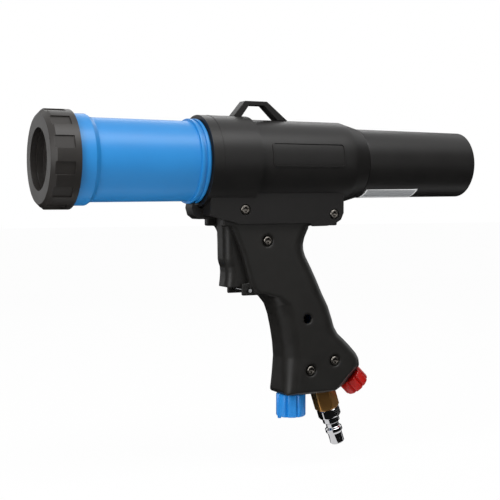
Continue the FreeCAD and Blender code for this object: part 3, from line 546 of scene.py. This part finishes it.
def handle_hollow():
    """The room inside the handle, a wall's thickness in from its outside."""
    levels = [z for z in handle_levels() if HOLLOW_LOW <= z <= HOLLOW_TOP] + [HOLLOW_FOOT]
    hollow = lofted("hollow", [
        station(max(between(FRONT, z) + WALL, HOLLOW_FRONT), between(BACK, z) - WALL,
                GRIP_HALF - WALL, max(between(FRONT_ROUND, z) - CORNER_WALL, LEAST_CORNER),
                max(between(BACK_ROUND, z) - CORNER_WALL, LEAST_CORNER), z)
        for z in levels])
    slice_by(hollow, HOLLOW_FLATS)
    return hollow


def handle():
    """The two grip halves, made as one and parted on the middle plane."""
    grip = handle_outside()
    carve(grip, handle_hollow(),
          box_of("tongue_room", (HOLLOW_FRONT, 211), (-14, 14), (-46, -30)),
          box_of("trigger_slot", (110, 155.2), (-10.6, 10.6), (-88.8, -30)),
          box_of("lug_slot", (110, 150), (-10.6, 10.6), (-94, -84)),
          drum("valve_hole", mm(156, 0, -68), mm(7.7), mm(12)),
          drum("regulator_hole", mm(185, 0, -165), mm(6.1), mm(12), "Z"),
          drum("inlet_hole", mm(211, 0, -165.6), mm(5.3), mm(16), "Z", tilt=-FOOT_TILT),
          drum("flow_hole", mm(230, 0, -158.8), mm(5.8), mm(16), "Z", tilt=-FLOW_TILT),
          drum("lug_hole", mm(144.6, 0, -89.6), mm(1.3), mm(40), "Y", 24),
          *[drum("well", mm(x, -19.0, z), mm(4.2), mm(7.4), "Y", 40) for x, z in GRIP_SCREWS],
          drum("deep_well", mm(DEEP_SCREW[0], -15.0, DEEP_SCREW[1]), mm(3.3), mm(20), "Y", 40))
    relax(grip, mm(0.55), 12)
    for node, side in (("grip_left", 1), ("grip_right", -1)):
        half = named(grip.copy(), node + "_shell")
        half.data = grip.data.copy()
        bpy.context.scene.collection.objects.link(half)
        slice_off(half, (0, 0, 0), (0, side, 0))
        smooth(half, 40)
        finish_piece(half, node)
    bpy.data.objects.remove(grip)


# The finger lever's outline in millimetres: a height and the edge's place along X.
TRIGGER_FRONT = [(-33.6, 130.0), (-36, 128.4), (-44, 128.4), (-54.6, 128.8), (-62, 128.9),
                 (-68.0, 129.0), (-70.5, 129.5), (-73.2, 130.6), (-77, 130.9), (-81, 130.7),
                 (-87.6, 129.9)]
TRIGGER_BACK = [(-33.6, 134.0), (-36.2, 136.6), (-41.6, 137.4), (-48.2, 140.0), (-63.7, 144.5),
                (-72.2, 144.5), (-84.6, 147.4), (-87.6, 147.4)]
TRIGGER_LEVELS = {-58.0, -79.0}
TRIGGER_HALF = 9.9
FINGER_ROUND = 6.5


def trigger():
    """The finger lever: a column with a rounded front for the finger and a flat back."""
    levels = sorted({z for z, _ in TRIGGER_FRONT} | {z for z, _ in TRIGGER_BACK}
                    | TRIGGER_LEVELS, reverse=True)
    rings = []
    for z in levels:
        front, back = between(TRIGGER_FRONT, z), between(TRIGGER_BACK, z)
        rings.append(station(front, back, TRIGGER_HALF,
                             min(FINGER_ROUND, (back - front) * 0.6), 1.0, z))
    lever = lofted("finger_lever", rings)
    slice_by(lever, [((129.8, 0, -87.1), (-0.205, 0, -1))])
    carve(lever, drum("pivot_hole", mm(132, 0, -38.2), mm(2.1), mm(30), "Y", 32))
    relax(lever, mm(0.4), 8)
    smooth(lever, 40)
    return finish_piece(lever, "trigger")


RECESS_ARM, RECESS_WIDTH, RECESS_DEPTH = 4.0, 1.1, 1.3


def pan_screw(name, x, z, face, side, radius, rise):
    """A pan head with a cross recess, standing on a face across the Y axis."""
    head = drum(name, mm(x, face + side * rise / 2, z), mm(radius), mm(rise), "Y", 48)
    soften(head, mm(0.9), 4, 60)
    top = face + side * rise
    for wide, tall in ((RECESS_ARM, RECESS_WIDTH), (RECESS_WIDTH, RECESS_ARM)):
        carve(head, box_of("recess", (x - wide / 2, x + wide / 2),
                           (top - RECESS_DEPTH, top + RECESS_DEPTH),
                           (z - tall / 2, z + tall / 2)))
    soften(head, mm(0.08), 2, 40)
    return smooth(head, 35)


def screws():
    """The screw heads that show: the grip's on the left only, the housing's on both sides."""
    grip = [pan_screw("grip_screw", x, z, -15.4, -1, 3.2, 1.8) for x, z in GRIP_SCREWS]
    grip.append(pan_screw("grip_screw", *DEEP_SCREW, -7.5, -1, 2.9, 1.6))
    body = [pan_screw("housing_screw", x, z, side * 18.6, side, 3.3, 1.9)
            for x, z in [(139.1, -33.2), (209.3, -36.8)] for side in (-1, 1)]
    for node, heads in (("grip_screws", grip), ("housing_screws", body)):
        only(heads[0])
        for head in heads:
            head.select_set(True)
        bpy.ops.object.join()
        joined = named(bpy.context.active_object, node + "_heads")
        finish_piece(joined, node)


FRAME_CORNER = 2.4
FRAME_RADIUS = 29.62
FRAME_STEP = 1.5
# The frame's section: how far out from its centre line, and how far above the wall.
FRAME_SECTION = [(-0.6, -0.3), (-0.35, 0.6), (0.35, 0.6), (0.6, -0.3)]


def frame_path(x_low, x_high, low, high):
    """Points round the frame on the unrolled wall, each with its outward turn."""
    corners = [(x_high, high, -1, -1, 0), (x_low, high, 1, -1, 90),
               (x_low, low, 1, 1, 180), (x_high, low, -1, 1, 270)]
    bends = []
    for x, up, right, above, start in corners:
        bends += [(x + right * FRAME_CORNER + FRAME_CORNER * math.cos(turn),
                   up + above * FRAME_CORNER + FRAME_CORNER * math.sin(turn), turn)
                  for turn in quarter(start)]
    path = []
    for k, (x, up, turn) in enumerate(bends):
        path.append((x, up, turn))
        next_x, next_up, _ = bends[(k + 1) % len(bends)]
        parts = int(math.hypot(next_x - x, next_up - up) // FRAME_STEP) + 1
        path += [(x + (next_x - x) * part / parts, up + (next_up - up) * part / parts, turn)
                 for part in range(1, parts)]
    return path


def raised_frame():
    """A plain raised outline round the bare panel on the housing's left side."""
    points = []
    path = frame_path(156.0, 212.6, math.radians(-6.3) * FRAME_RADIUS,
                      math.radians(24.8) * FRAME_RADIUS)
    for x, up, turn in path:
        for out, rise in FRAME_SECTION:
            climb = (up + out * math.sin(turn)) / FRAME_RADIUS
            reach = FRAME_RADIUS + rise
            points.append(mm(x + out * math.cos(turn), -reach * math.cos(climb),
                             reach * math.sin(climb)))
    sides = len(FRAME_SECTION)
    faces = []
    for k in range(len(path)):
        here, ahead = k * sides, (k + 1) % len(path) * sides
        faces += [(here + j, ahead + j, ahead + (j + 1) % sides, here + (j + 1) % sides)
                  for j in range(sides)]
    piece = skin_of("panel_frame", points, faces)
    smooth(piece, 40)
    return finish_piece(piece, "housing", replace=False)


KNOB_SIDES = 144
LOBE_ANGLE = 45
GROOVE_ANGLE = 7.5
GROOVE_DEPTH = 1.5
LOBE_CROWN = 0.35


def knob_reach(turn, groove):
    """How far the knob's skin falls back from its full radius at a turn."""
    half = LOBE_ANGLE / 2
    off = abs((math.degrees(turn) + half) % LOBE_ANGLE - half)
    share = max(0.0, 1 - off / GROOVE_ANGLE)
    return (groove * GROOVE_DEPTH * share * share * (3 - 2 * share)
            + LOBE_CROWN * (off / half - 0.6) ** 2)


def lobed_knob(node, centre, tilt, radius, start, end, neck, neck_end, bore, tab_turn):
    """A knob with eight rounded lobes and a short pointer under its rim.

    It lies along a line from its centre, leaning down by tilt, from start to end.
    Its neck takes the body's boss as far as neck_end, and its bore the stem beyond.
    """
    centre = Vector(centre)
    along = Vector((math.cos(tilt), 0, -math.sin(tilt)))
    side = Vector((0, -1, 0))
    up = along.cross(side)
    length = end - start
    rings = []
    for where, inset, groove in ((0.0, 0.9, 0.6), (0.25, 0.35, 0.9), (0.8, 0.0, 1.0),
                                 (0.5 * length, 0.0, 1.0), (length - 1.1, 0.0, 1.0),
                                 (length - 0.4, 0.3, 0.9), (length, 1.0, 0.6)):
        ring = []
        for k in range(KNOB_SIDES):
            turn = 2 * math.pi * k / KNOB_SIDES
            reach = radius - inset - knob_reach(turn, groove)
            ring.append(mm(*(centre + along * (start + where)
                             + (side * math.cos(turn) + up * math.sin(turn)) * reach)))
        rings.append(ring)
    knob = lofted(node + "_lobes", rings)
    turn = math.radians(tab_turn)
    out = side * math.cos(turn) + up * math.sin(turn)
    across = along.cross(out)
    middle = centre + along * (end - 0.6) + out * (radius - 2.0)
    join_on(knob, lofted("pointer", [
        [mm(*(middle + along * reach + out * a + across * b))
         for a, b in ((-1, -1.1), (1, -1.1), (1, 1.1), (-1, 1.1))]
        for reach in (-1.0, 2.0)]))
    for name, reach, low, high in (("neck_room", neck, start - 1, neck_end),
                                   ("stem_room", bore, neck_end - 1, end - 1.6)):
        spot = centre + along * (low + high) / 2
        carve(knob, drum(name, mm(*spot), mm(reach), mm(high - low), "Z", 48,
                         tilt - math.pi / 2))
    soften(knob, mm(0.25), 2, 40)
    smooth(knob, 38)
    return finish_piece(knob, node)


def knobs():
    lobed_knob("regulator_knob", (185, 0, -165.6), tilt=math.pi / 2, radius=10.7,
               start=0.8, end=17.4, neck=5.5, neck_end=9.6, bore=2.05, tab_turn=100)
    lobed_knob("flow_knob", (232.6, 0, -156.2), tilt=FLOW_TILT, radius=9.9,
               start=0.6, end=11.8, neck=4.5, neck_end=5.4, bore=1.7, tab_turn=130)


def raised_line():
    """A thin moulded ring line round the collar, ahead of the bare panel."""
    centre = mm(118.6, 0, 0)
    line = drum("collar_line", centre, mm(32.05), mm(0.7), sides=160)
    carve(line, drum("collar_room", centre, mm(31.6), mm(3), sides=160),
          box_of("lower_part", (110, 125), (-40, 40), (-40, -7)))
    smooth(line, 40)
    return finish_piece(line, "housing", replace=False)


def outer_pieces():
    """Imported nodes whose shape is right, with their edges eased."""
    for node, width, *rest in (
            ("ring_nut", 0.35, 2), ("nozzle_ring", 0.35, 2), ("barrel", 0.35, 2, 25),
            ("housing", 0.7, 3, 35), ("hanger_loop", 0.7, 2), ("rear_cylinder", 0.8, 3),
            ("barrel_latch", 0.4, 2), ("inlet_fitting", 0.35, 2), ("inlet_plug", 0.3, 2),
            ("rating_label", 0.15, 1)):
        softened_node(node, mm(width), *rest)


# Stage ---------------------------------------------------------------------------

def plane(name, size, place, turned=(0, 0, 0)):
    bpy.ops.object.select_all(action="DESELECT")
    bpy.ops.mesh.primitive_plane_add(size=size, location=place, rotation=turned)
    return named(bpy.context.active_object, name)


def lamp(name, place, aim, size, watts):
    """A rectangular soft light that faces a point."""
    light = bpy.data.lights.new(name, "AREA")
    light.shape = "RECTANGLE"
    light.size, light.size_y = size
    light.energy = watts
    holder = bpy.data.objects.new(name, light)
    bpy.context.scene.collection.objects.link(holder)
    holder.location = place
    holder.rotation_euler = (Vector(aim) - Vector(place)).to_track_quat("-Z", "Y").to_euler()


CARD_CENTRE = 0.15
CARD_DISTANCE = 1.5
CARD_HEIGHT = 0.1
FLOOR_HEIGHT = -0.222


def reflected_cards():
    """Dark cards round the object and on the floor, which only reflections see."""
    finish = Finish("dark card")
    finish.wear(Base_Color=finish.blend(finish.noise(3, 2), (0.006, 0.006, 0.006, 1),
                                        (0.012, 0.012, 0.012, 1)), Roughness=0.9,
                Specular_IOR_Level=0.0)
    spots = []
    for degrees, width in ((-114, 1.9), (-22, 1.8), (68, 1.9), (158, 1.8)):
        turn = math.radians(degrees)
        spots.append(((CARD_CENTRE + CARD_DISTANCE * math.cos(turn),
                       CARD_DISTANCE * math.sin(turn), CARD_HEIGHT),
                      (math.pi / 2, 0, turn + math.pi / 2), (width, 1.7, 1)))
    spots += [((CARD_CENTRE, side * 0.78, FLOOR_HEIGHT + 0.0015), (0, 0, 0), (3, 1.5, 1))
              for side in (-1, 1)]
    for place, turned, scale in spots:
        card = plane("reflection_card", 1, place, turned)
        card.scale = scale
        card.data.materials.append(finish.material)
        card.visible_camera = False
        card.visible_diffuse = False
        card.visible_shadow = False


def seen(finish):
    """1 for what the eye, a reflection or a clear piece looks at."""
    path = finish.node("LightPath")
    return (Value(finish, path.outputs["Is Camera Ray"])
            .most(Value(finish, path.outputs["Is Glossy Ray"]))
            .most(Value(finish, path.outputs["Is Transmission Ray"])))


def floor():
    """A white floor that looks evenly white, and is lit and shaded only faintly."""
    ground = plane("studio_floor", 12, (0, 0, FLOOR_HEIGHT))
    finish = Finish("white floor")
    glow = finish.node("Emission", {}, {"Color": (1, 1, 1, 1), "Strength": 1.0})
    finish.wear(Base_Color=finish.blend(finish.noise(4, 2), (0.88, 0.88, 0.88, 1),
                                        (0.9, 0.9, 0.9, 1)),
                Roughness=0.8)
    mix = finish.node("MixShader", {}, {0: 0.97 * seen(finish), 1: finish.skin.outputs[0],
                                        2: glow.outputs[0]})
    finish.put(finish.tree.nodes["Material Output"].inputs[0], mix.outputs[0])
    ground.data.materials.append(finish.material)


class Sky(Finish):
    """The studio's white surround, with the same way of adding nodes."""

    def __init__(self):
        self.material = bpy.data.worlds.new("studio surround")
        self.material.use_nodes = True
        self.tree = self.material.node_tree


def surround():
    """Full white where it is seen, and about a third as bright where it only lights."""
    sky = Sky()
    bpy.context.scene.world = sky.material
    back = sky.tree.nodes["Background"]
    back.inputs["Color"].default_value = (1, 1, 1, 1)
    sky.put(back.inputs["Strength"], 0.32 + 0.68 * seen(sky))


def studio():
    surround()
    floor()
    reflected_cards()
    lamp("overhead softbox", (0.1, -0.45, 0.85), (0.15, 0, 0), (1.2, 0.45), 9.5)
    lamp("left softbox", (-0.85, -0.55, 0.25), (0.12, 0, -0.05), (0.35, 0.8), 7)
    lamp("back strip", (0.5, 0.9, 0.6), (0.15, 0, 0), (0.9, 0.3), 2)


def camera():
    """A long lens at the left front, a little below the barrel's line."""
    data = bpy.data.cameras.new("camera")
    data.lens = 80.35
    data.sensor_width = 36
    holder = bpy.data.objects.new("camera", data)
    bpy.context.scene.collection.objects.link(holder)
    holder.location = (-0.19164, -0.71102, -0.02362)
    holder.rotation_euler = (math.radians(87.212), 0, math.radians(-25.80))
    bpy.context.scene.camera = holder
    bpy.context.scene.view_settings.view_transform = "Standard"


def main():
    for name, node in NODES.items():
        for holder in node.material_slots:
            holder.material = FINISHES[SLOT_OF[name]]
    outer_pieces()
    handle()
    trigger()
    screws()
    knobs()
    raised_frame()
    raised_line()
    studio()
    camera()


main()
